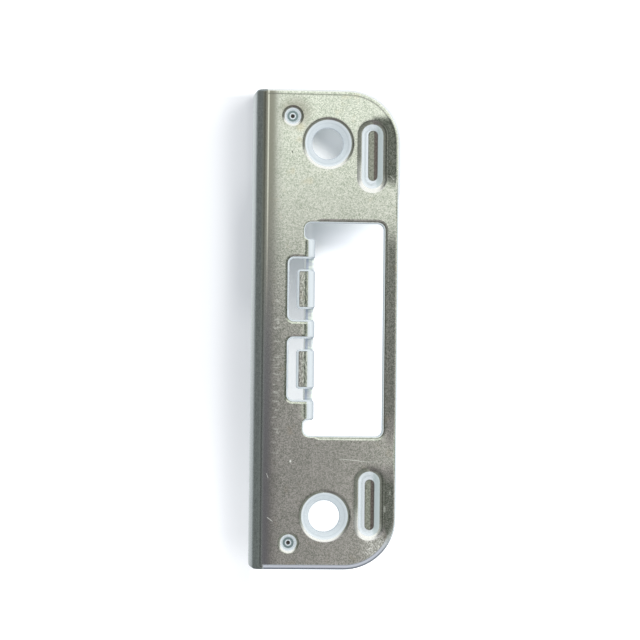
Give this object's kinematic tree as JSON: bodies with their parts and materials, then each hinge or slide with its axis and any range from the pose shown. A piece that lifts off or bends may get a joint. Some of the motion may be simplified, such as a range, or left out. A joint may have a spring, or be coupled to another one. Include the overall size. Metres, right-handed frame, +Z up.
{
  "type": "door strike plate",
  "caption": "Angle strike plate of zinc plated sheet steel with a latch opening, a folded lip with bendable adjusting tabs, countersunk screw holes and pressed beads.",
  "frame": {"origin": "midway between the two screw holes, on the back of the face, which lies against the door frame", "axes": "+X to the right seen from the front, +Y back into the door frame, +Z up along the plate's length; the front of the face looks towards -Y and the flange is on the -X side"},
  "size_m": [0.027, 0.01, 0.09],
  "materials": {
    "zinc_plated_steel": "satin zinc plating with a fine grain, paler on the pressed and cut edges"
  },
  "bodies": {
    "root": {"strike_plate": "zinc_plated_steel"}
  },
  "joints": []
}
